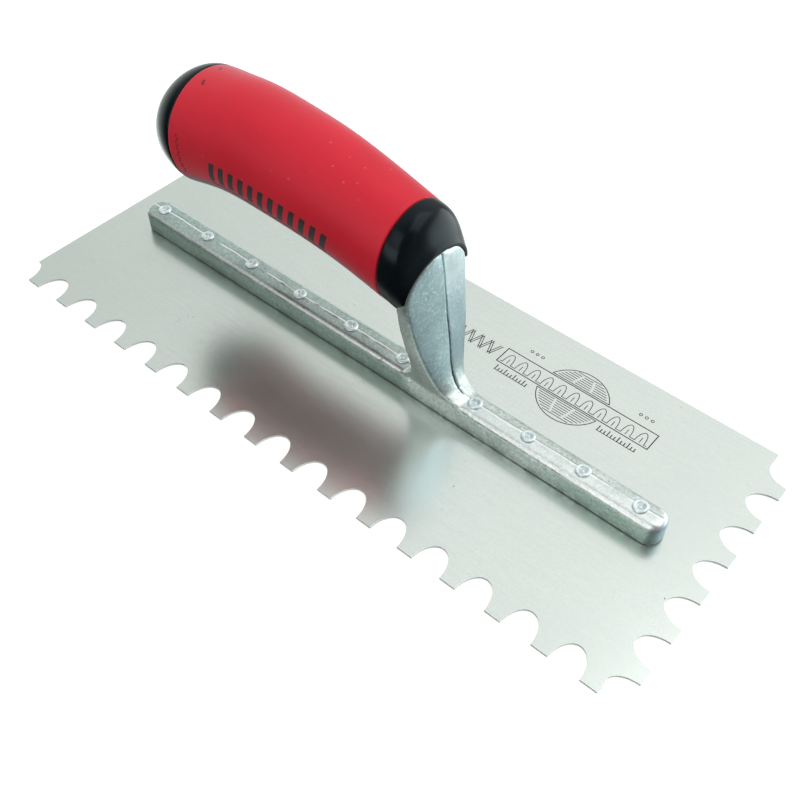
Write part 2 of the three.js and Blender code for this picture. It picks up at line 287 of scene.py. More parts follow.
def finish_solid(obj, name, smooth_angle, material, slot, *nodes):
    """Names, shades and finishes a piece built up by joining and cutting."""
    obj.name = obj.data.name = name
    shade(obj.data, smooth_angle)
    obj.data.materials.clear()
    obj.data.materials.append(material)
    finish_piece(obj, slot, *nodes)


# ---- Material helpers ----

class Nodes:
    """Builds a node tree by short calls; every value is a socket, a number or a colour."""

    def __init__(self, tree):
        self.tree = tree

    def add(self, kind, **settings):
        node = self.tree.nodes.new(kind)
        for key, value in settings.items():
            setattr(node, key, value)
        return node

    def put(self, value, socket):
        """Links a socket, or sets a number, a colour or a vector."""
        if isinstance(value, bpy.types.NodeSocket):
            self.tree.links.new(value, socket)
        elif isinstance(value, tuple) and socket.type == "RGBA":
            socket.default_value = (*value, 1.0)
        else:
            socket.default_value = value

    def fill(self, kind, *values, **settings):
        """A new node with its first inputs given in order."""
        node = self.add(kind, **settings)
        for value, socket in zip(values, node.inputs):
            self.put(value, socket)
        return node

    def ramp(self, value, low, high, out_low=0.0, out_high=1.0, kind="SMOOTHSTEP"):
        """A step from one output to the other as the value goes from low to high."""
        return self.fill("ShaderNodeMapRange", value, low, high, out_low, out_high,
                         interpolation_type=kind).outputs["Result"]

    def math(self, operation, *values):
        return self.fill("ShaderNodeMath", *values, operation=operation).outputs["Value"]

    def plus(self, a, b):
        return self.math("ADD", a, b)

    def minus(self, a, b):
        return self.math("SUBTRACT", a, b)

    def largest(self, a, b):
        return self.math("MAXIMUM", a, b)

    def times(self, first, *others):
        """The product of sockets and numbers."""
        for other in others:
            first = self.math("MULTIPLY", first, other)
        return first

    def split(self, vector):
        return self.fill("ShaderNodeSeparateXYZ", vector).outputs

    def apart(self, kind, a, b):
        """A number from two vectors: their DISTANCE or DOT_PRODUCT."""
        return self.fill("ShaderNodeVectorMath", a, b, operation=kind).outputs["Value"]

    def mix(self, amount, a, b, blend="MIX"):
        node = self.add("ShaderNodeMix", data_type="RGBA", blend_type=blend)
        slots = [s for s in node.inputs if s.type == "RGBA"]
        for value, socket in zip((amount, a, b), (node.inputs[0], *slots)):
            self.put(value, socket)
        return next(s for s in node.outputs if s.type == "RGBA")


class Surface(Nodes):
    """A Principled material that takes its patterns from object coordinates."""

    def __init__(self, name, **sockets):
        self.material = bpy.data.materials.new(name)
        self.material.use_nodes = True
        super().__init__(self.material.node_tree)
        self.shader = self.tree.nodes["Principled BSDF"]
        for socket, value in sockets.items():
            self.put(value, self.shader.inputs[socket.replace("_", " ")])
        self.place = self.add("ShaderNodeTexCoord").outputs["Object"]

    def noise(self, scale, detail=3.0, roughness=0.55, stretch=(1, 1, 1), distortion=0.0):
        """Noise in object coordinates; scale is per metre, stretch scales each axis."""
        mapping = self.add("ShaderNodeMapping")
        mapping.inputs["Scale"].default_value = stretch
        self.put(self.place, mapping.inputs["Vector"])
        node = self.add("ShaderNodeTexNoise")
        for socket, value in (("Vector", mapping.outputs["Vector"]), ("Scale", scale),
                              ("Detail", detail), ("Roughness", roughness),
                              ("Distortion", distortion)):
            self.put(value, node.inputs[socket])
        return node.outputs["Fac"]

    def scatter(self, scale, outer, inner, zone, low, high):
        """Specks around scattered points, where the zone is above low, and full above high."""
        node = self.add("ShaderNodeTexVoronoi")
        self.put(self.place, node.inputs["Vector"])
        self.put(scale, node.inputs["Scale"])
        return self.times(self.ramp(node.outputs["Distance"], outer, inner),
                          self.ramp(zone, low, high))

    def near(self, x, y, z, radius, wobble=0.0):
        """1 at a point in millimetres, falling to 0 at the radius; wobble roughens its outline."""
        distance = self.apart("DISTANCE", self.place, (x * MM, y * MM, z * MM))
        if wobble:
            shift = self.times(self.minus(self.noise(1500, 2), 0.5), wobble * MM)
            distance = self.plus(distance, shift)
        return self.ramp(distance, radius * MM, 0.4 * radius * MM)

    def line(self, offset, outer, inner):
        """1 where the offset is within inner of zero, falling to 0 at outer."""
        return self.ramp(self.math("ABSOLUTE", offset), outer, inner)

    def axis(self, letter, normal=False):
        """One part of the object coordinates, or of the normal."""
        source = self.add("ShaderNodeNewGeometry").outputs["Normal"] if normal else self.place
        return self.split(source)[letter]

    def towards(self, base, colour, *shares):
        """The base mixed towards a colour by the product of the shares."""
        return self.mix(self.times(*shares), base, colour)

    def shine(self, colour, roughness):
        """Links the shader's colour and roughness."""
        self.put(colour, self.shader.inputs["Base Color"])
        self.put(roughness, self.shader.inputs["Roughness"])

    def bump(self, *layers):
        """Each layer is (height value, strength, distance in millimetres)."""
        normal = None
        for height, strength, distance in layers:
            node = self.add("ShaderNodeBump")
            for socket, value in (("Strength", strength), ("Distance", distance * MM),
                                  ("Height", height), ("Normal", normal)):
                if value is not None:
                    self.put(value, node.inputs[socket])
            normal = node.outputs["Normal"]
        self.put(normal, self.shader.inputs["Normal"])


# Places on the blade with a scatter of fine dark flecks, and how far each reaches.
FLECKED = ((-70.2, -32.2), (-58.7, -39.1))
FLECKED_RADIUS = 5.5


def rolled_steel():
    """Satin sheet steel: fine grain, faint clouds, stains and specks, with a painted reflection on
    the cut edges.
    """
    s = Surface("rolled_steel")
    grain = s.noise(900, 4, 0.7, (0.12, 1, 1))
    speckle = s.noise(2100, 2, 0.6)
    cloud = s.noise(14, 4, 0.6, (0.6, 1, 1), 0.8)
    stain = s.ramp(s.noise(38, 5, 0.65, distortion=1.5), 0.64, 0.8)
    specks = s.scatter(270, 0.10, 0.055, s.noise(24, 2), 0.60, 0.68)
    fleck = s.scatter(1100, 0.30, 0.14, s.noise(520, 1), 0.50, 0.56)
    for x, y in FLECKED:
        specks = s.largest(specks, s.times(fleck, s.near(x, y, BLADE_TOP, FLECKED_RADIUS)))
    toned = s.mix(cloud, (0.70, 0.765, 0.725), (0.78, 0.83, 0.795))
    toned = s.towards(toned, (0.58, 0.62, 0.60), s.ramp(grain, 0.3, 0.7, 0.0, 0.15))
    toned = s.towards(toned, (0.58, 0.62, 0.59), s.ramp(speckle, 0.35, 0.7, 0.0, 0.24))
    toned = s.towards(toned, (0.42, 0.43, 0.38), stain, 0.16)
    toned = s.towards(toned, (0.16, 0.15, 0.13), specks, 0.75)
    # cut walls: duller and less metallic, with a pale tone that is a painted reflection of the
    # bright floor
    cut = s.ramp(s.math("ABSOLUTE", s.axis("Z", normal=True)), 0.6, 0.3)
    rough = s.ramp(grain, 0.25, 0.75, 0.205, 0.235)
    for layer, share in ((cloud, 0.04), (stain, 0.05), (cut, 0.15)):
        rough = s.plus(rough, s.times(layer, share))
    s.shine(s.towards(toned, (0.93, 0.96, 0.95), cut), rough)
    s.put(s.minus(0.9, s.times(cut, 0.5)), s.shader.inputs["Metallic"])
    s.bump((grain, 0.003, 0.008), (speckle, 0.014, 0.004))
    return s.material


def cast_aluminium():
    """Tumbled casting: mottled grey with bright grains, pits and the marks of the mould line, with
    painted light and shade on the shank and bar.
    """
    s = Surface("cast_aluminium", Metallic=1.0)
    along, across, height = s.axis("X"), s.axis("Y"), s.axis("Z")
    facing_up, facing_ahead = s.axis("Z", normal=True), s.axis("X", normal=True)
    mottle = s.noise(95, 5, 0.7)
    patches = s.ramp(mottle, 0.3, 0.7)
    grain = s.noise(1050, 3, 0.75)
    peel = s.noise(330, 3, 0.6)
    marks = s.scatter(420, 0.16, 0.05, s.noise(120, 3), 0.5, 0.62)
    base = s.mix(patches, (0.50, 0.57, 0.545), (0.66, 0.73, 0.705))
    base = s.towards(base, (0.95, 0.99, 0.97), s.ramp(grain, 0.50, 0.66, 0.0, 0.5))
    base = s.towards(base, (0.20, 0.26, 0.235), s.ramp(grain, 0.47, 0.33, 0.0, 0.42))
    # painted reflection: the broad front of the shank and the bar's front end are tinted cool and
    # bluish, as if lit from ahead
    above, ahead = s.ramp(height, 0.010, 0.024), s.ramp(along, 0.100, 0.117)
    painted_cool_reflection = s.mix(patches, (0.28, 0.41, 0.46), (0.41, 0.55, 0.60))
    painted_cool_reflection = s.towards(painted_cool_reflection, (0.66, 0.80, 0.84), s.ramp(grain, 0.50, 0.66, 0.0, 0.6))
    far_half = s.ramp(across, 0.0, 0.001)
    # painted shade low on the shank's far face, painted light high on it
    painted_cool_reflection = s.towards(painted_cool_reflection, (0.17, 0.27, 0.32), far_half, s.ramp(height, 0.058, 0.026), 0.75)
    painted_cool_reflection = s.towards(painted_cool_reflection, (0.74, 0.86, 0.88), far_half, s.ramp(height, 0.040, 0.062), 0.5)
    painted_cool_reflection = s.towards(painted_cool_reflection, (0.34, 0.45, 0.66), ahead, 0.6)
    base = s.towards(base, painted_cool_reflection, s.ramp(facing_ahead, 0.45, 0.9), s.largest(above, ahead), 0.85)
    base = s.towards(base, (0.16, 0.18, 0.165), marks, 0.7)
    # the bar: painted shade on the rear of its top, painted light on the near half of its top
    # towards the front, rubbed bright along its upper edges
    on_bar = s.ramp(height, 0.0112, 0.0106)
    forward = s.ramp(along, -0.01, 0.05)
    near_half = s.ramp(across, 0.0022, -0.0022)
    top = s.times(s.ramp(facing_up, 0.86, 0.96), on_bar)
    # painted shade: the top darkened towards the rear
    base = s.mix(s.times(top, s.minus(1.0, forward)), base, (0.70, 0.765, 0.755), "MULTIPLY")
    # painted light: the near half of the top paled towards the front
    base = s.towards(base, (0.96, 1.0, 0.98), top, forward, near_half, 0.42)
    rubbed = s.times(s.ramp(facing_up, 0.30, 0.55), s.ramp(facing_up, 0.97, 0.88),
                     s.ramp(s.noise(700, 3, 0.7), 0.34, 0.56, 0.25, 1.0), on_bar)
    base = s.towards(base, (1.0, 1.0, 1.0), rubbed, 0.4)
    # painted shade: the bar's sides darkened and tinted green towards the rear and towards the
    # front
    upright = s.times(s.ramp(facing_up, 0.4, 0.1), on_bar)
    side_shade = s.largest(s.ramp(along, 0.018, 0.012), s.ramp(along, 0.065, 0.095))
    base = s.mix(s.times(upright, side_shade), base, (0.61, 0.70, 0.66), "MULTIPLY")
    # painted shade: the sides darken towards the foot, where the bar meets the blade, broken into
    # smudges
    smudge = s.ramp(s.noise(150, 4, 0.7), 0.35, 0.6, 0.3, 1.0)
    foot = s.times(s.ramp(height, 0.0062, 0.0015), upright, smudge)
    base = s.towards(base, (0.14, 0.165, 0.155), foot, 0.62)
    # mould line: bright flash on top of the bar, worn metal with a painted highlight and a painted
    # shadow beside it; a dark groove down the shank
    wander = s.times(s.minus(s.noise(60, 3), 0.5), 0.0011)
    jitter = s.times(s.minus(s.noise(420, 2), 0.5), 0.0007)
    offset = s.minus(s.plus(across, wander), 0.0003)
    ragged = s.plus(offset, jitter)
    along_bar = s.times(s.ramp(facing_up, 0.75, 0.92), s.ramp(height, 0.0125, 0.0115),
                        s.ramp(s.noise(75, 3), 0.34, 0.46))
    # the bright flash is worn metal with a painted highlight on its ridge
    flash = s.times(s.line(ragged, 0.00055, 0.00022), along_bar)
    base = s.towards(base, (0.95, 0.99, 0.98), flash, 0.8)
    # painted shadow along one side of the flash
    flash_shadow = s.times(s.line(s.minus(offset, 0.00058), 0.00030, 0.00008), along_bar)
    base = s.towards(base, (0.16, 0.19, 0.19), flash_shadow, 0.6)
    groove = s.times(s.line(ragged, 0.00048, 0.00020), s.ramp(facing_ahead, 0.06, 0.25),
                     s.ramp(height, 0.0106, 0.0118), s.ramp(height, 0.062, 0.036, 0.45, 0.9))
    s.shine(s.towards(base, (0.04, 0.052, 0.058), groove),
            s.plus(s.ramp(mottle, 0.3, 0.7, 0.36, 0.48), s.times(marks, 0.2)))
    s.bump((peel, 0.25, 0.12), (grain, 0.3, 0.07), (marks, -0.3, 0.08))
    return s.material


def bright_zinc(name, tone, roughness, metallic):
    """Zinc plate: a bright tone under a thin haze, with fine scratches."""
    s = Surface(name, Metallic=metallic)
    haze = s.noise(400, 4, 0.65)
    scratch = s.noise(1800, 2, 0.6, (1, 0.25, 1))
    darker = tuple(0.72 * c for c in tone)
    s.shine(s.mix(s.ramp(haze, 0.35, 0.7), tone, darker),
            s.ramp(haze, 0.3, 0.75, roughness, roughness + 0.16))
    s.bump((scratch, 0.12, 0.02), (haze, 0.1, 0.05))
    return s.material


# Small nicks near the rear of the grip: x and the angle around it.
NICKS = ((-73.7, 77), (-73.2, 79.5), (-72.3, 102), (-72.0, 104), (-71.4, 106))


def soft_rubber():
    """Matte overmoulded rubber: faint mottling, dust specks, a fine moulded texture and painted
    shade on the underside.
    """
    s = Surface("soft_red_rubber", Coat_Weight=0.0, Sheen_Weight=0.44, Sheen_Roughness=0.3,
                Specular_IOR_Level=0.32, Sheen_Tint=(0.45, 0.82, 1.0))
    mottle = s.noise(26, 4, 0.6)
    fine = s.noise(1400, 2, 0.6)
    base = s.mix(s.ramp(mottle, 0.3, 0.7), (0.68, 0.012, 0.030), (0.76, 0.018, 0.040))
    base = s.towards(base, (0.80, 0.026, 0.055), s.ramp(s.noise(9, 2, 0.5), 0.4, 0.75, 0.0, 0.35))
    dust = s.scatter(260, 0.13, 0.07, s.noise(70, 2), 0.53, 0.63)
    base = s.towards(base, (0.85, 0.42, 0.46), dust, 0.2)
    grime = s.ramp(s.noise(70, 5, 0.7, distortion=1.0), 0.64, 0.78)
    base = s.towards(base, (0.22, 0.012, 0.018), grime, 0.25)
    # painted shade: the underside darkened, where little light reaches it
    under = s.ramp(s.axis("Z", normal=True), -0.34, -0.70)
    base = s.towards(base, (0.052, 0.014, 0.018), under, 0.85)
    for x, angle in NICKS:
        nick = s.near(*on_grip(x, angle, 0.0), 0.75, 0.9)
        base = s.towards(base, (0.06, 0.004, 0.008), nick, 0.9)
    s.shine(base, s.ramp(mottle, 0.3, 0.75, 0.50, 0.62))
    s.bump((fine, 0.18, 0.03), (s.noise(240, 3), 0.10, 0.10))
    return s.material


def black_plastic():
    """Satin moulded plastic with a fine texture, dust and slight wear."""
    s = Surface("black_plastic", Specular_IOR_Level=0.19, Specular_Tint=(0.74, 0.93, 1.0))
    fine = s.noise(1100, 3, 0.65)
    mottle = s.noise(50, 4, 0.65)
    base = s.mix(s.ramp(mottle, 0.35, 0.7), (0.0022, 0.0036, 0.0056), (0.005, 0.0078, 0.0105))
    dust = s.scatter(340, 0.10, 0.05, s.noise(60, 2), 0.55, 0.65)
    s.shine(s.towards(base, (0.16, 0.17, 0.17), dust, 0.35),
            s.ramp(mottle, 0.3, 0.75, 0.22, 0.27))
    s.bump((fine, 0.08, 0.03), (s.noise(180, 3), 0.05, 0.12))
    return s.material


def ink(name, dark, light, roughness, metallic):
    """Printed or etched marks: uneven, slightly broken tone."""
    s = Surface(name, Metallic=metallic)
    wear = s.noise(650, 4, 0.7)
    s.shine(s.mix(s.ramp(wear, 0.4, 0.75), dark, light),
            s.ramp(wear, 0.3, 0.7, roughness, roughness + 0.12))
    s.bump((wear, 0.1, 0.02))
    return s.material


# ---- Blade ----

def arc(cx, cy, rx, ry, start, stop, count=36):
    """Points of an ellipse's arc between two angles in degrees."""
    angles = np.radians(np.linspace(start, stop, count))
    return [(cx + rx * math.cos(a), cy + ry * math.sin(a)) for a in angles]


def inside(point, ellipse):
    cx, cy, rx, ry = ellipse
    return ((point[0] - cx) / rx) ** 2 + ((point[1] - cy) / ry) ** 2 < 1.0


def blade_outline():
    """The blade's edge, anticlockwise from the rear end of the toothed long edge."""
    long_notches = [(BLADE_REAR + NOTCH_PITCH * k, TOOTHED_Y, NOTCH_HALF, NOTCH_DEPTH)
                    for k in range(LONG_EDGE_NOTCHES)]
    end_notches = [(BLADE_FRONT, TOOTHED_Y + END_NOTCH_INSET + NOTCH_PITCH * k,
                    END_NOTCH_DEPTH, NOTCH_HALF) for k in range(END_NOTCHES)]
    points = arc(*long_notches[0], 90, 0, 20)
    for notch in long_notches[1:-1]:
        points += arc(*notch, 180, 0)
    corner, first = long_notches[-1], end_notches[0]
    points += [p for p in arc(*corner, 180, 0, 80) if not inside(p, first) and p[0] < BLADE_FRONT]
    points += [p for p in arc(*first, 270, 90, 80)
               if not inside(p, corner) and p[1] > TOOTHED_Y + NOTCH_HALF]
    for notch in end_notches[1:-1]:
        points += arc(*notch, 270, 90)
    last = end_notches[-1]
    points += arc(*last, 270, 180, 20)
    points += [(BLADE_FRONT - END_NOTCH_DEPTH, STRAIGHT_Y), (BLADE_REAR, STRAIGHT_Y)]
    return points


def make_blade(material):
    """The sheet with its notches and rivet holes, its edges softened a little."""
    hole_sides = 28
    curve = bpy.data.curves.new("blade_outline", "CURVE")
    curve.dimensions = "2D"
    curve.fill_mode = "BOTH"
    soften = 0.07
    curve.extrude = (BLADE_TOP / 2 - soften) * MM
    curve.bevel_depth = soften * MM
    curve.bevel_resolution = 1
    curve.offset = -soften * MM
    loops = [blade_outline()]
    loops += [arc(x, 0, BLADE_HOLE, BLADE_HOLE, 360, 360 / hole_sides, hole_sides)
              for x in RIVET_X]
    for loop in loops:
        spline = curve.splines.new("POLY")
        spline.points.add(len(loop) - 1)
        for point, (x, y) in zip(spline.points, loop):
            point.co = (x * MM, y * MM, 0, 1)
        spline.use_cyclic_u = True
    maker = new_object("blade_maker", curve)
    depsgraph = bpy.context.evaluated_depsgraph_get()
    mesh = bpy.data.meshes.new_from_object(maker.evaluated_get(depsgraph))
    bpy.data.objects.remove(maker)
    mesh.name = "blade_sheet"
    mesh.transform(Matrix.Translation((0, 0, BLADE_TOP / 2 * MM)))
    mesh.materials.clear()
    tidy_mesh(mesh)
    shade(mesh, 30)
    for face in mesh.polygons:
        face.use_smooth = abs(face.normal.z) < 0.99
    finish_piece(new_object("blade_sheet", mesh, material), "blade_steel", "blade")


# ---- Marks on the blade ----

def ribbon(points, width, closed=False):
    """(points, faces) of a flat band of even width along a line of (x, y) points."""
    line = [Vector(p) for p in points]
    count = len(line)
    edges = []
    for i, p in enumerate(line):
        before = line[(i - 1) % count] if closed or i > 0 else p - (line[1] - p)
        after = line[(i + 1) % count] if closed or i < count - 1 else p + (p - line[i - 1])
        d0, d1 = (p - before).normalized(), (after - p).normalized()
        bisector = d0 + d1
        bisector = bisector.normalized() if bisector.length > 1e-6 else d0
        across = Vector((-bisector.y, bisector.x))
        reach = 0.5 * width / max(0.35, across.dot(Vector((-d0.y, d0.x))))
        edges.append((p + across * reach, p - across * reach))
    flat = [tuple(q) for pair in edges for q in pair]
    faces = []
    for i in range(count if closed else count - 1):
        j = (i + 1) % count
        faces.append((2 * i, 2 * i + 1, 2 * j + 1, 2 * j))
    return flat, faces


def grid(corners, steps):
    """(points, faces) of quads between four corners, given anticlockwise."""
    nx, ny = steps
    a, b, c, d = (np.array(p, float) for p in corners)
    flat = []
    for i in range(nx + 1):
        low, high = a + (b - a) * i / nx, d + (c - d) * i / nx
        flat += [tuple(low + (high - low) * j / ny) for j in range(ny + 1)]
    starts = [i * (ny + 1) + j for i in range(nx) for j in range(ny)]
    return flat, [(k, k + ny + 1, k + ny + 2, k + 1) for k in starts]


class Patches:
    """Collects thin patches over a surface, which place(x, y, level) gives, as one piece."""

    def __init__(self, low, high, place):
        self.levels, self.place = (low, high), place
        self.points, self.faces = [], []

    def add(self, flat, quads):
        """Closes a flat pattern of quads between the two levels."""
        base, count = len(self.points), len(flat)
        self.points += [self.place(*p, level) for level in self.levels for p in flat]
        used = {}
        for quad in quads:
            for a, b in zip(quad, quad[1:] + quad[:1]):
                key = (min(a, b), max(a, b))
                used[key] = None if key in used else (a, b)
        solid = [tuple(reversed(q)) for q in quads] + [tuple(i + count for i in q) for q in quads]
        solid += [(a, b, b + count, a + count) for a, b in filter(None, used.values())]
        self.faces += [tuple(i + base for i in face) for face in solid]

    def line(self, points, width, closed=False):
        self.add(*ribbon(points, width, closed))

    def quad(self, corners, steps=(3, 10)):
        self.add(*grid(corners, steps))

    def finish(self, name, smooth_angle, material, slot):
        make_piece(name, (self.points, self.faces), smooth_angle, material, slot)


def make_blade_marks(material):
    """A generic mark: a frame of notch profiles over a hatched disc, ticks and a zigzag gauge."""
    marks = Patches(BLADE_TOP - 0.02, BLADE_TOP + 0.012, lambda x, y, z: (x, y, z))
    left, right, low, high = 31.0, 95.4, 29.3, 37.2
    marks.line([(left, low), (right, low), (right, high), (left, high)], 0.42, True)
    inner = 0.9
    arches = 11
    pitch = (right - left - 2 * inner) / arches
    for k in range(arches):
        x0 = left + inner + pitch * k
        middle, foot = x0 + pitch / 2, low + inner
        arch = arc(middle, foot, 0.32 * pitch, 5.2, 180, 0, 16)
        marks.line([(x0, foot), *arch, (x0 + pitch, foot)], 0.3)
        marks.line([(middle, foot), (middle, foot + 2.6)], 0.3)
    cx, cy, radius = 62.5, 32.6, 13.2
    for side in (-1, 1):
        edge = high + 0.8 if side > 0 else low - 0.8
        rise = abs(edge - cy)
        start = math.degrees(math.asin(rise / radius))
        angles = (start, 180 - start) if side > 0 else (180 + start, 360 - start)
        rim = arc(cx, cy, radius, radius, *angles, 40)
        marks.line(rim, 0.36, True)
        level = rise + 1.0
        while level < radius - 0.8:
            reach = math.sqrt(radius ** 2 - level ** 2) - 0.7
            cuts = 3 if reach > 7 else 1
            for c in range(cuts):
                a = -reach + 2 * reach * c / cuts + 0.5
                b = -reach + 2 * reach * (c + 1) / cuts - 0.5
                marks.line([(cx + a, cy + side * level), (cx + b, cy + side * level)], 0.3)
            level += 1.05
    for x0, y0, count in ((33.0, 25.4, 11), (77.5, 25.4, 12)):
        for k in range(count):
            tall = 2.5 if k % 3 == 0 else 1.5
            marks.line([(x0 + 1.35 * k, y0), (x0 + 1.35 * k, y0 + tall)], 0.42)
        marks.line([(x0 - 0.4, y0 - 0.1), (x0 + 1.35 * (count - 1) + 0.4, y0 - 0.1)], 0.3)
    zig = [(10.5 + 2.2 * k, 30.2 if k % 2 else 36.4) for k in range(9)]
    marks.line(zig, 0.34)
    marks.line([(x + 0.9, y) for x, y in zig], 0.34)
    for k in range(3):
        marks.line(arc(50.5 + 2.4 * k - 12, 41.6, 0.55, 0.55, 0, 330, 14), 0.3, True)
        marks.line(arc(85.5 + 2.4 * k, 41.6, 0.55, 0.55, 0, 330, 14), 0.3, True)
    marks.finish("blade_marks", None, material, "blade_steel")


# ---- Mounting: bar, shank and tang in one casting ----

def rounded_rectangle(x0, x1, y0, y1, radius, z, steps=6):
    """A ring at height z, from the corner at (x1, y0)."""
    points = []
    for x, y, start in ((x1, y0, -90), (x1, y1, 0), (x0, y1, 90), (x0, y0, 180)):
        cx = x - radius if x == x1 else x + radius
        cy = y - radius if y == y1 else y + radius
        for i in range(steps + 1):
            a = math.radians(start + 90 * i / steps)
            points.append((cx + radius * math.cos(a), cy + radius * math.sin(a), z))
    return points


def bar_ring(inward, upward, height=0.0):
    """A ring of the bar, by its shares of the upper edge's rounding or by its height below that."""
    ring = []
    steps = 8
    half_count = 2 * (steps + 1)
    for edge, corner in ((BAR_FRONT_EDGE, BAR_FRONT_CORNER), (BAR_REAR_EDGE, BAR_REAR_CORNER)):
        inset = edge * inward
        z = BAR_BOTTOM + height if upward is None else BAR_TOP - edge * (1 - upward)
        whole = rounded_rectangle(BAR_REAR + inset, BAR_FRONT - inset, inset - BAR_HALF_WIDTH,
                                  BAR_HALF_WIDTH - inset, corner - inset, z, steps)
        ring += whole[len(ring):len(ring) + half_count]
    return ring


def bar_solid():
    rings = [bar_ring(0.06, None), bar_ring(0.0, None, 0.2)]
    return loft(rings + [bar_ring(1 - math.cos(a), math.sin(a)) for a in quarter(8)])


# Heights of the shank's stations, and there the ridge, face edge, half width, back edge, back.
SHANK_Z = [4, 9.4, 11, 13, 17.5, 24, 32, 41, 50, 55, 59, 62.5, 65, 66.4]
SHANK = {
    "ridge": [44, 43, 37.9, 34.4, 32.2, 31, 30.1, 28.6, 27.3, 26.6, 26, 25.3, 24.7, 24.3],
    "face": [43, 41, 36.5, 33, 31, 29.3, 27.6, 25.7, 23.9, 23.4, 23.5, 23.8, 24, 24.1],
    "half": [5.2, 5.25, 5.7, 6.5, 8.1, 10.2, 12.4, 14, 15.1, 15.2, 13.9, 11.3, 7.9, 3.6],
    "back": [12, 12.5, 15.8, 18.3, 20.2, 21, 20.4, 19.4, 18.6, 18.3, 18, 18, 18, 18.4],
    "spine": [12, 12.5, 15.4, 17.6, 19, 19.6, 18.6, 17.4, 16.4, 16, 16, 16.4, 17, 18],
}


def shank_ring(z, grow=0.0):
    """The shank's outline at height z: a shallow ridged front, a narrow side, a fuller back."""
    ridge, face, half, back, spine = (float(np.interp(z, SHANK_Z, row)) for row in SHANK.values())
    half += grow
    side = [(face - 0.7, half), (0.5 * (face + back), half + 0.1), (back + 0.8, half - 0.2),
            (back + 0.25, half - 0.45), (back, half - 0.95)]
    crown = [(ridge + (face - ridge) * share + 0.45 * math.sin(math.pi * share) + grow,
              half * share) for share in np.linspace(0, 0.97, 12)]
    rear = [(back + (spine - back) * math.cos(math.pi / 2 * share) - grow, half * share)
            for share in np.linspace(0.8, 0.0, 9)]
    near = crown + side + rear
    ring = [(x, y, z) for x, y in near]
    ring += [(x, -y, z) for x, y in reversed(near[1:-1])]
    return ring


def shank_solid(grow=0.0):
    levels = [*np.linspace(4, 11, 8), *np.linspace(11.5, 64, 48), *np.linspace(64.4, 66.6, 10)]
    rings = [shank_ring(z, grow) for z in levels]
    ring = rings[-1]
    centre = np.mean(np.array(ring), axis=0)
    rings.append([tuple(centre + 0.5 * (np.array(p) - centre) + (0, 0, 0.35 + grow)) for p in ring])
    return loft(rings)


def tang_solid(grow=0.0):
    rings = []
    for distance, half in ((-7, TANG_HALF + grow), (TANG_LENGTH - 3, TANG_HALF - 0.6 + grow),
                           (TANG_LENGTH + grow, TANG_HALF - 2 + grow)):
        flat = rounded_rectangle(-half, half, -half, half, 2, 0)
        rings.append([(distance, x, y) for x, y, _ in flat])
    points, faces = loft(rings)
    return along_core(points), faces


def add_casting_detail(points, normals):
    """Uneven skin, a mould step on the shank's front and a ragged flash line along the bar."""
    shift = np.zeros_like(points)
    x, y, z = points.T
    lid = (z > 8.0) & (z < 10.6) & ((x < 4) | (x > 44))
    shift[lid, 2] -= BAR_CROWN * ((y / BAR_HALF_WIDTH) ** 2 * np.clip((z - 8.0) / 1.5, 0, 1))[lid]
    flank = (np.abs(normals[:, 1]) > 0.5) & (z < BAR_TOP) & (z > BAR_BOTTOM) & (np.abs(y) > 4)
    lean = np.where(x < STEP_X, -0.16, 0.42) * (z - 0.5 * BAR_TOP) / BAR_TOP
    shift[flank, 1] -= (np.sign(y) * lean)[flank]
    swell = [0.055 * noise.noise(p / 7.0) + 0.030 * noise.noise(p / 2.1 + Vector((40, 0, 0)))
             for p in map(Vector, points)]
    shift += normals * np.array(swell)[:, None]
    front = (normals[:, 0] > 0.35) & (z > 12.5) & (np.abs(y) < 6)
    worn = np.interp(z, (36, 60), (1.0, 0.35))
    groove = np.exp(-((y - 0.3) / (0.22 + 0.24 * worn)) ** 2) * 0.36 * worn
    step = 0.13 / (1 + np.exp(-(y - 0.3) / 0.2)) * np.exp(-(y / 5.0) ** 2)
    shift[front] += normals[front] * (step - groove)[front][:, None]
    top = (normals[:, 2] > 0.8) & (z > BAR_TOP - 1.0) & (z < 12.0)
    ragged = np.array([0.12 + 0.16 * noise.noise(Vector((px / 3.0, 0, 5.0))) for px in x])
    wander = np.array([0.3 + 0.35 * noise.noise(Vector((px / 9.0, 7.0, 0))) for px in x])
    flash = np.exp(-((y - wander) / 0.38) ** 2) * np.maximum(ragged, 0.0) * 1.5
    for rivet in RIVET_X:
        flash *= 1 - np.exp(-((x - rivet) / 3.0) ** 2)
    shift[top] += normals[top] * flash[top][:, None]
    return shift


def make_mounting(material):
    """The casting as one skin, with its rivet holes and the bore for the rod."""
    casting = solid_object("casting", bar_solid())
    boolean(casting, shank_solid(), "UNION")
    boolean(casting, tang_solid(), "UNION")
    remesh(casting, CASTING_VOXEL, CASTING_RELAX)
    move_vertices(casting.data, add_casting_detail)
    above = BAR_TOP + 3
    for x in RIVET_X:
        points, faces = lathe([(0, -1), (RIVET_HOLE, -1), (RIVET_HOLE, above), (0, above)], 24)
        boolean(casting, ([(px + x, py, pz) for px, py, pz in points], faces))
    start, past_tang = TANG_LENGTH - 14, 40
    bore = lathe([(0, start), (ROD_BORE, start), (ROD_BORE, past_tang), (0, past_tang)])
    boolean(casting, onto_core(bore))
    finish_solid(casting, "mounting_casting", 50, material, "cast_aluminium", "mounting")


# ---- Rivets ----

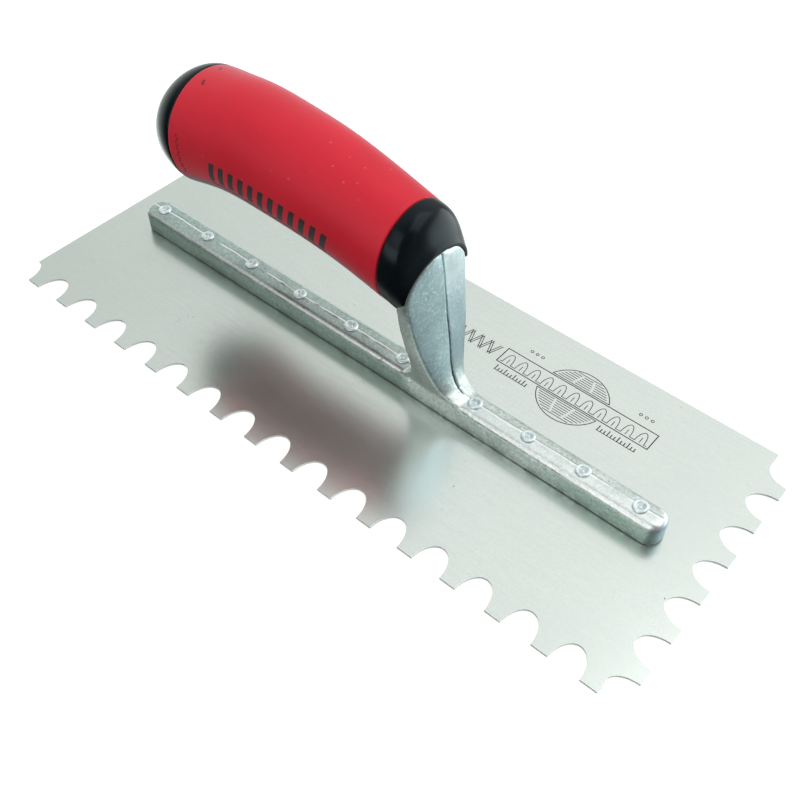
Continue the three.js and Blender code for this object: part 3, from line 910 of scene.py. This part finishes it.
def make_rivet(name, x, material, seed):
    """A rolled hollow head with a folded button inside, and a flush head below."""
    chance = random.Random(seed)
    seat = BAR_TOP + 0.02
    crown = seat + 0.72
    lip = 2.65 + chance.uniform(-0.08, 0.08)
    profile = [(0, 0.02), (2.15, 0.02), (2.3, 0.12), (1.4, BLADE_TOP), (1.4, seat - 0.3),
               (2.2, seat), (lip - 0.1, seat), (lip, seat + 0.12), (lip, seat + 0.26),
               (lip - 0.12, seat + 0.45), (lip - 0.4, crown - 0.06), (lip - 0.7, crown),
               (lip - 1.0, crown - 0.04), (lip - 1.2, crown - 0.22), (lip - 1.3, crown - 0.75),
               (0.9, crown - 1.05), (0.7, crown - 0.95), (0.62, crown - 0.62), (0.45, crown - 0.5),
               (0, crown - 0.46)]
    points, faces = lathe(profile, 40)
    tilt_x, tilt_y = chance.uniform(-0.05, 0.05), chance.uniform(-0.05, 0.05)
    turn = chance.uniform(0, 6.28)
    shaped = []
    for px, py, pz in points:
        if pz > seat - 0.05:
            angle = math.atan2(py, px) + turn
            wave = 1 + 0.015 * math.sin(2 * angle) + 0.006 * math.sin(3 * angle + turn)
            inner = max(0.0, 1.3 - math.hypot(px, py))
            px = px * wave + 0.16 * inner * math.cos(turn)
            py = py * wave + 0.16 * inner * math.sin(turn)
            pz += (tilt_x * px + tilt_y * py) * min(1.0, (pz - seat + 0.05) * 2)
        shaped.append((px + x, py, pz))
    make_piece(name + "_head", (shaped, faces), 40, material, "rivet_steel", name)


# ---- Handle ----

GRIP_KNOTS = np.linspace(-78, 12.7, 6)
grip_middle = natural_spline(GRIP_KNOTS, [67.6, 70.9, 70.8, 69.4, 66.4, 62])
grip_half = natural_spline(GRIP_KNOTS, [REAR_HALF, 19.7, 19.4, 19, 18.4, 18.1])
ROUND = 144
FLARE_HEIGHT, FLARE_LENGTH, FLARE_ANGLE = 0.75, 8.0, 60.0


def section_ratio(x):
    """Width over height of the handle's section: a little wide at the rear, tall at the front."""
    return float(np.interp(x, (GRIP_REAR, GRIP_FRONT), (REAR_RATIO, FRONT_RATIO)))


def section_lean(x):
    """How far the section at x leans back, per millimetre of height above its middle."""
    return float(np.interp(x, (GRIP_REAR, LEAN_END), (REAR_LEAN, 0.0)))


def rim_flare(x, angle):
    """How far the skin swells around the rear seam, on its top and far side."""
    along = math.exp(-((x - GRIP_REAR) / FLARE_LENGTH) ** 2)
    around = max(0.0, math.cos(angle - math.radians(FLARE_ANGLE))) ** 3
    return FLARE_HEIGHT * along * around


def skin_point(x, a, middle, half, flare):
    """A point of the leaning section at x, a radians from +Y through +Z."""
    rise = (half + flare) * math.sin(a)
    reach = (section_ratio(x) * half + flare) * math.cos(a)
    return x - section_lean(x) * rise, reach, middle + rise


def oval(x, middle, half, shrink=0.0):
    """A leaning ring of the handle at x: the half height less shrink, the width in ratio."""
    scale = half / grip_half(max(x, GRIP_REAR))
    return [skin_point(x, a, middle, half, rim_flare(x, a) * scale - shrink)
            for a in turns(ROUND)]


def circle_on_core(x, radius):
    """A ring of a tube around the handle's centre line, in the leaning plane at x."""
    middle = CORE_Z + (CORE_X - x) * math.tan(CORE_SLOPE)
    lean, pivot = section_lean(x), grip_middle(x)
    heights = [(a, middle + radius * math.sin(a)) for a in turns(ROUND)]
    return [(x - lean * (z - pivot), radius * math.cos(a), z) for a, z in heights]


def grip_ring(x, shrink=0.0):
    return oval(x, grip_middle(x), grip_half(x), shrink)


def make_grip(material):
    """The sleeve, with rolled lips at both seams and the bore for the core."""
    rear, front = GRIP_REAR, GRIP_FRONT
    lip = 0.7
    lips = [(lip * (1 - math.cos(a)), lip * (1 - math.sin(a))) for a in quarter(6)]
    rings = [grip_ring(rear + inward, shrink) for inward, shrink in lips]
    rings += [grip_ring(x) for x in np.linspace(rear + lip, front - lip, 120)[1:-1]]
    rings += [grip_ring(front - inward, shrink) for shrink, inward in lips]
    rings += [circle_on_core(x, CORE_TUBE_RADIUS + BORE_GAP) for x in np.linspace(front, rear, 12)]
    make_piece("soft_grip", loft(rings, loop=True), 50, material, "red_rubber", "grip")


# Along the collar: widest height, half height above it, half width and level of the cut below.
COLLAR_X = [12.85, 16, 18.2, 20.2, 21.8, 23.2, 24.6, 26.6]
collar_middle = natural_spline(COLLAR_X, [62, 61.3, 60.3, 58.8, 56.8, 54, 50.6, 46])
collar_half = natural_spline(COLLAR_X, [18.1, 18.1, 18, 17.1, 16.2, 16, 16.8, 15.6])
collar_width = natural_spline(COLLAR_X, [17.7, 17.6, 17.3, 16.7, 16.2, 16, 15.9, 15.6])
collar_low = natural_spline(COLLAR_X, [44, 46.4, 49.6, 52.2, 54, 55.2, 56, 56.6])


def collar_ring(x, shrink=0.0):
    middle, half = collar_middle(x), collar_half(x) - shrink
    width, low = collar_width(x) - shrink, collar_low(x) + shrink
    arch, chord = 120, 24
    start = math.asin(max(-0.97, min(0.97, (low - middle) / half)))
    angles = [start + (math.pi - 2 * start) * i / arch for i in range(arch + 1)]
    ring = [(x, width * math.cos(a), middle + half * math.sin(a)) for a in angles]
    first, last = np.array(ring[0]), np.array(ring[-1])
    return ring + [tuple(last + (first - last) * i / chord) for i in range(1, chord)]


def butt_rings():
    """The dome, then the edge that tucks in under the grip's rear seam."""
    rings = []
    middle, half = grip_middle(GRIP_REAR), grip_half(GRIP_REAR)
    depth_all, tuck = BUTT_DEPTH - SEAM, 0.6
    power = 2 / BUTT_ROUNDNESS
    for a in quarter(40)[1:]:
        depth = depth_all * math.cos(a) ** power
        size = half * math.sin(a) ** power
        drop = BUTT_DROP * (depth / depth_all) ** 2
        rings.append(oval(GRIP_REAR - SEAM - depth, middle - drop, size))
    for a in quarter(5)[1:]:
        rings.append(oval(GRIP_REAR - SEAM + tuck * math.sin(a), middle, half,
                          tuck * (1 - math.cos(a))))
    return rings


def make_core(material):
    """Collar, inner tube and butt in one moulding, cut for the shank, the rod and the nut."""
    start, tuck = COLLAR_X[0], 0.6
    front = [collar_ring(start + tuck * (1 - math.cos(a)), tuck * (1 - math.sin(a)))
             for a in quarter(5)]
    front += [collar_ring(x) for x in np.linspace(start + tuck, COLLAR_X[-1], 60)[1:]]
    core = solid_object("core", loft(front))
    boolean(core, loft(butt_rings()), "UNION")
    tube = lathe([(0, -3), (CORE_TUBE_RADIUS, -3), (CORE_TUBE_RADIUS, CORE_TUBE_END),
                  (0, CORE_TUBE_END)], 96)
    boolean(core, onto_core(tube), "UNION")
    rim = {z: COLLAR_TOP_X + RIM_LEAN * (z - COLLAR_TOP_Z) for z in (30, 90)}
    wedge = [(x, y, z) for z, near in rim.items()
             for x, y in ((near, -30), (60, -30), (60, 30), (near, 30))]
    faces = [(3, 2, 1, 0), (4, 5, 6, 7), (0, 1, 5, 4), (1, 2, 6, 5), (2, 3, 7, 6), (3, 0, 4, 7)]
    boolean(core, (wedge, faces))
    boolean(core, shank_solid(SHANK_GAP))
    boolean(core, tang_solid(BORE_GAP))
    start, mouth = TANG_LENGTH - 1, RECESS_FLOOR + RECESS_LENGTH
    recess = [(0, start), (ROD_BORE, start), (ROD_BORE, RECESS_FLOOR),
              (RECESS_RADIUS, RECESS_FLOOR), (RECESS_RADIUS, mouth), (0, mouth)]
    boolean(core, onto_core(lathe(recess, 72)))
    finish_solid(core, "handle_moulding", 32, material, "black_plastic", "handle_core")


def on_grip(x, angle, lift):
    """A point above the grip's skin; angle in degrees from +Y through +Z."""
    a = math.radians(angle)
    point = skin_point(x, a, grip_middle(x), grip_half(x), rim_flare(x, a))
    normal = Vector((0, math.cos(a) / section_ratio(x), math.sin(a))).normalized()
    return tuple(Vector(point) + lift * normal)


def make_grip_marks(material):
    """A generic printed row of slanted bars over a thin line along the side of the grip."""
    skin = Patches(-0.03, 0.05, on_grip)
    first, pitch, width, lean, count = -60.5, 4.45, 2.2, 2.4, 12
    top, low = 177.0, 201.0
    for k in range(count):
        x = first + pitch * k
        skin.quad([(x + lean, top), (x + lean + width, top), (x + width, low), (x, low)])
    line_top, line_low = 204.5, 206.5
    last = first + (count - 1) * pitch + width
    skin.quad([(first, line_top), (last, line_top), (last, line_low), (first, line_low)], (24, 2))
    skin.finish("grip_marks", 40, material, "red_rubber")


def make_mould_dashes(material):
    """A short row of low moulded dashes around the rear of the grip."""
    skin = Patches(-0.03, 0.10, on_grip)
    first, pitch, count, half, span = 160, 3.4, 13, 0.3, 2.0
    for k in range(count):
        angle = first + pitch * k
        x = -73.6 + 0.5 * (k % 2)
        x0, x1, stop = x - half, x + half, angle + span
        skin.quad([(x0, angle), (x1, angle), (x1, stop), (x0, stop)], (1, 2))
    skin.finish("grip_mould_dashes", 40, material, "red_rubber")


# ---- Handle fastening ----

def thread_profile(start, stop, pitch, outer, depth):
    """Rings of a screw thread as a stack of ridges between two lengths."""
    profile = []
    z = start
    while z + pitch <= stop:
        profile += [(outer - depth, z), (outer, z + 0.35 * pitch), (outer, z + 0.55 * pitch)]
        z += pitch
    profile.append((outer - depth, z))
    return profile


def make_rod(material):
    """The rod, with a thread at each end."""
    start, end = TANG_LENGTH - 13.7, ROD_END
    outer = ROD_RADIUS
    profile = [(0, start), (outer - 0.6, start)]
    profile += thread_profile(start + 0.5, start + 20, 1.0, outer, 0.5)
    profile += [(outer - 0.25, start + 21), (outer - 0.25, end - 14)]
    profile += thread_profile(end - 13.5, end - 0.6, 1.0, outer, 0.5)
    profile += [(outer - 0.8, end), (0, end)]
    make_piece("tang_rod_threaded", onto_core(lathe(profile, 40)), 35, material,
               "fastener_steel", "tang_rod")


def make_washer(material):
    floor, bore, rim, edge = RECESS_FLOOR + BORE_GAP, ROD_BORE, WASHER_RADIUS, 0.2
    top = floor + WASHER_THICKNESS
    profile = [(bore, floor + edge), (bore + edge, floor), (rim - edge, floor),
               (rim, floor + edge), (rim, top - edge), (rim - edge, top), (bore + edge, top),
               (bore, top - edge)]
    make_piece("butt_washer_round", onto_core(loft(spin(profile, 64), loop=True)), 35, material,
               "fastener_steel", "butt_washer")


def make_nut(material):
    """A hexagon nut with chamfered corners."""
    floor, thick = RECESS_FLOOR + WASHER_THICKNESS + 2 * BORE_GAP, NUT_THICKNESS
    flat, corner = NUT_HALF_FLATS, NUT_HALF_FLATS / math.cos(math.pi / 6)
    chamfer = 0.4
    count = 96
    rings = []
    for z, limit in ((0, flat), (chamfer, corner), (thick - chamfer, corner), (thick, flat)):
        ring = []
        for a in turns(count):
            radius = min(flat / math.cos((a % (math.pi / 3)) - math.pi / 6), limit)
            ring.append((radius * math.cos(a), radius * math.sin(a), floor + z))
        rings.append(ring)
    lead = 0.4
    rings += spin([(ROD_BORE + lead, floor + thick), (ROD_BORE, floor + thick - lead),
                   (ROD_BORE, floor + lead), (ROD_BORE + lead, floor)], count)
    make_piece("butt_nut_hex", onto_core(loft(rings, loop=True)), 25, material,
               "fastener_steel", "butt_nut")


# ---- Stage: camera, floor, light ----

# Brightness of the studio in direction d is SKY_BASE + SKY_SLOPE . d, kept within two levels.
SKY_BASE, SKY_SLOPE = 0.10, (0.30, 0.42, 1.04)
SKY_FLOOR, SKY_TOP, SKY_BELOW = 0.05, 1.0, 0.42
SKY_LOW_TINT, SKY_HIGH_TINT = (0.90, 1.0, 0.94), (0.99, 1.0, 0.99)

# Patches of the studio: direction, the cosines where each starts and is full, and its level.
DARK_PATCH = ((0.42, -0.51, 0.75), 0.55, 0.95, 0.3)
COOL_PATCH = ((0.80, 0.20, 0.56), 0.72, 0.95, 0.5)
GLOW_PATCH = ((-0.63, 0.77, 0.0), 0.38, 0.62, 1.2)
REAR_PATCH = ((-0.90, 0.33, -0.27), 0.58, 0.92, 1.1)
GLOW_STARTS, GLOW_FULL = -0.30, -0.60


def make_camera():
    """The photo's point of view."""
    data = bpy.data.cameras.new("camera")
    data.sensor_width = 36.0
    data.lens = 46.466
    data.clip_start, data.clip_end = 0.01, 20.0
    camera = new_object("camera", data)
    eye = Vector((0.17091, -0.19773, 0.27618))
    target = Vector((0.01649, -0.00868, 0.0))
    roll = math.radians(1.453)
    aim = (target - eye).to_track_quat("-Z", "Y").to_matrix()
    camera.rotation_mode = "QUATERNION"
    camera.rotation_quaternion = (aim @ Matrix.Rotation(roll, 3, "Z")).to_quaternion()
    camera.location = eye
    bpy.context.scene.camera = camera


def make_floor():
    """A pale floor just under the blade, left out of what the tool's surfaces reflect."""
    size, level = 3.0, -0.0004
    mesh = bpy.data.meshes.new("floor")
    mesh.from_pydata([(x, y, level) for x, y in
                      ((-size, -size), (size, -size), (size, size), (-size, size))],
                     [], [(0, 1, 2, 3)])
    s = Surface("pale_floor", Specular_IOR_Level=0.1, Emission_Strength=0.7,
                Emission_Color=(1, 1, 1))
    s.shine(s.mix(s.noise(3, 2), (0.50, 0.50, 0.50), (0.53, 0.53, 0.53)), 0.9)
    floor = new_object("floor", mesh, s.material)
    floor.visible_diffuse = floor.visible_glossy = False


def area_light(name, place, aim, size, watts, colour=(1, 1, 1)):
    data = bpy.data.lights.new(name, "AREA")
    data.shape = "RECTANGLE"
    data.size, data.size_y = size
    data.energy = watts
    data.color = colour
    lamp = new_object(name, data)
    lamp.location = place
    lamp.rotation_mode = "QUATERNION"
    lamp.rotation_quaternion = (Vector(aim) - Vector(place)).to_track_quat("-Z", "Y")


def make_world():
    """A soft studio, brightest overhead and at the back right, dark around the camera."""
    world = bpy.data.worlds.new("studio")
    bpy.context.scene.world = world
    world.use_nodes = True
    sky = Nodes(world.node_tree)
    direction = sky.add("ShaderNodeTexCoord").outputs["Generated"]

    def patch(towards, starts, full, level, outside):
        return sky.ramp(sky.apart("DOT_PRODUCT", direction, towards), starts, full, outside, level)

    x, y, z = sky.split(direction)
    height = sky.largest(z, sky.times(z, -SKY_BELOW))
    folded = sky.fill("ShaderNodeCombineXYZ", x, y, height).outputs[0]
    level = sky.ramp(sky.apart("DOT_PRODUCT", folded, SKY_SLOPE), SKY_FLOOR - SKY_BASE,
                     SKY_TOP - SKY_BASE, SKY_FLOOR, SKY_TOP, "LINEAR")
    strength = sky.times(level, patch(*DARK_PATCH, 1.0), patch(*COOL_PATCH, 1.0))
    # the white table behind the tool, seen only at a glance along its sides and its rear end
    glow = sky.times(patch(*GLOW_PATCH, 0.0), sky.ramp(z, GLOW_STARTS, GLOW_FULL))
    strength = sky.plus(sky.plus(strength, glow), patch(*REAR_PATCH, 0.0))
    background = sky.tree.nodes["Background"]
    sky.put(sky.mix(level, SKY_LOW_TINT, SKY_HIGH_TINT), background.inputs["Color"])
    sky.put(strength, background.inputs["Strength"])


def make_light():
    make_world()
    area_light("key", (0.9, 0.7, 1.5), (0, 0, 0.03), (1.6, 1.6), 12)
    area_light("side_fill", (0.06, -0.42, 0.56), (0.07, 0, 0.01), (0.36, 0.30), 0.45)
    area_light("low_fill", (0.12, -1.0, 0.48), (-0.03, 0, 0.07), (0.9, 0.4), 2.7)
    area_light("edge_card", (-0.42, -0.74, 0.48), (-0.03, 0, 0.02), (0.34, 0.30), 0.55)
    area_light("back_card", (0.62, 0.95, -0.03), (0, 0, 0.04), (1.2, 0.62), 5.8, (0.90, 1.0, 1.0))


# ---- Assembly ----

make_camera()
make_floor()
make_light()

steel = rolled_steel()
zinc = bright_zinc("rivet_zinc", (0.86, 0.95, 0.96), 0.34, 0.6)
fastener = bright_zinc("fastener_zinc", (0.62, 0.63, 0.60), 0.28, 1.0)

make_blade(steel)
make_blade_marks(ink("etched_marks", (0.022, 0.025, 0.025), (0.075, 0.08, 0.08), 0.5, 0.1))
make_mounting(cast_aluminium())
for number, (name, x) in enumerate(zip(RIVETS, RIVET_X)):
    make_rivet(name, x, zinc, 11 + number)
make_core(black_plastic())
make_grip(soft_rubber())
make_mould_dashes(ink("moulded_dashes", (0.23, 0.008, 0.018), (0.36, 0.012, 0.026), 0.5, 0.0))
make_grip_marks(ink("printed_marks", (0.030, 0.028, 0.030), (0.055, 0.040, 0.045), 0.45, 0.0))
make_rod(fastener)
make_washer(fastener)
make_nut(fastener)

bpy.context.scene.view_settings.view_transform = "Standard"
